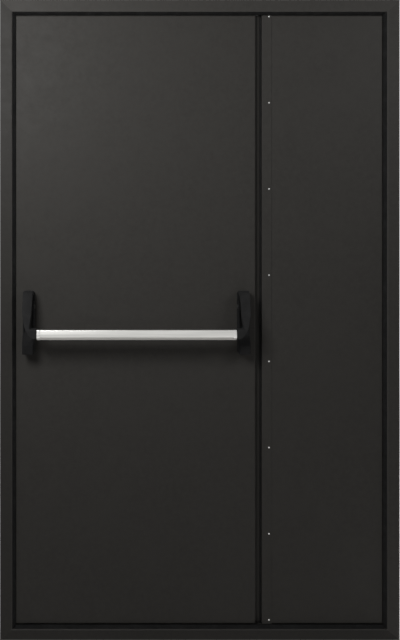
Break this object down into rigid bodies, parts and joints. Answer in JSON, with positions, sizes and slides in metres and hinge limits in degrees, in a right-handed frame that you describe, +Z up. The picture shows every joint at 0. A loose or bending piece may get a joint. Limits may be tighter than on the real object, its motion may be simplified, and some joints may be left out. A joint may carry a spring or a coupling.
{
  "type": "steel utility door",
  "caption": "Leaf-and-a-half steel utility door in a welded frame: wide active leaf with a sprung push bar, narrow passive leaf with a screwed cover strip, both opening outwards.",
  "frame": {"origin": "on the underside of the sill, midway between the jambs and midway through the frame's depth", "axes": "+Z up, +X to the right seen from the room, +Y out of the room, the way both leaves open"},
  "size_m": [1.28, 0.182, 2.05],
  "materials": {
    "frame_paint": "fine-textured graphite powder coat",
    "leaf_paint": "fine-textured graphite powder coat",
    "hinge_paint": "graphite powder coat over machined steel",
    "seal_rubber": "matt black",
    "case_black": "satin black moulding",
    "arm_black": "satin black coat on a casting",
    "bar_aluminium": "satin anodised, drawn lines along the bar",
    "collar_aluminium": "satin anodised",
    "lock_steel": "brushed, zinc plated",
    "pivot_steel": "black oxide"
  },
  "bodies": {
    "frame": {"left_jamb": "frame_paint", "right_jamb": "frame_paint", "head": "frame_paint", "sill": "frame_paint", "left_stop_seal": "seal_rubber", "right_stop_seal": "seal_rubber", "head_stop_seal": "seal_rubber", "sill_stop_seal": "seal_rubber", "left_lip_seal": "seal_rubber", "right_lip_seal": "seal_rubber", "head_lip_seal": "seal_rubber", "sill_lip_seal": "seal_rubber", "active_lower_hinge_frame_half": "hinge_paint", "active_upper_hinge_frame_half": "hinge_paint", "passive_lower_hinge_frame_half": "hinge_paint", "passive_upper_hinge_frame_half": "hinge_paint"},
    "active_leaf": {"active_inner_skin": "leaf_paint", "active_outer_skin": "leaf_paint", "active_meeting_stile": "leaf_paint", "lock_forend": "lock_steel", "latch_bolt": "lock_steel", "active_lower_hinge_leaf_half": "hinge_paint", "active_upper_hinge_leaf_half": "hinge_paint", "left_case": "case_black", "right_case": "case_black", "left_pivot_pin": "pivot_steel", "right_pivot_pin": "pivot_steel"},
    "passive_leaf": {"passive_inner_skin": "leaf_paint", "passive_outer_skin": "leaf_paint", "meeting_cover": "leaf_paint", "meeting_seal": "seal_rubber", "strike_plate": "lock_steel", "lower_flush_bolt": "lock_steel", "upper_flush_bolt": "lock_steel", "passive_lower_hinge_leaf_half": "hinge_paint", "passive_upper_hinge_leaf_half": "hinge_paint"},
    "push_bar": {"left_arm": "arm_black", "right_arm": "arm_black", "left_bar_collar": "collar_aluminium", "right_bar_collar": "collar_aluminium", "push_bar": "bar_aluminium"}
  },
  "joints": [
    {"name": "active_leaf_swing", "type": "hinge", "parent": "frame", "child": "active_leaf", "pos_m": [-0.6285, 0.052, 0.3], "axis": [0, 0, 1], "range_deg": [0, 120]},
    {"name": "passive_leaf_swing", "type": "hinge", "parent": "frame", "child": "passive_leaf", "pos_m": [0.6285, 0.052, 0.3], "axis": [0, 0, -1], "range_deg": [0, 120]},
    {"name": "push_bar_press", "type": "hinge", "parent": "active_leaf", "child": "push_bar", "pos_m": [-0.199, -0.0395, 1.068], "axis": [1, 0, 0], "range_deg": [0, 18], "stiffness_Nm_per_rad": 8, "springref_deg": -20.05}
  ]
}
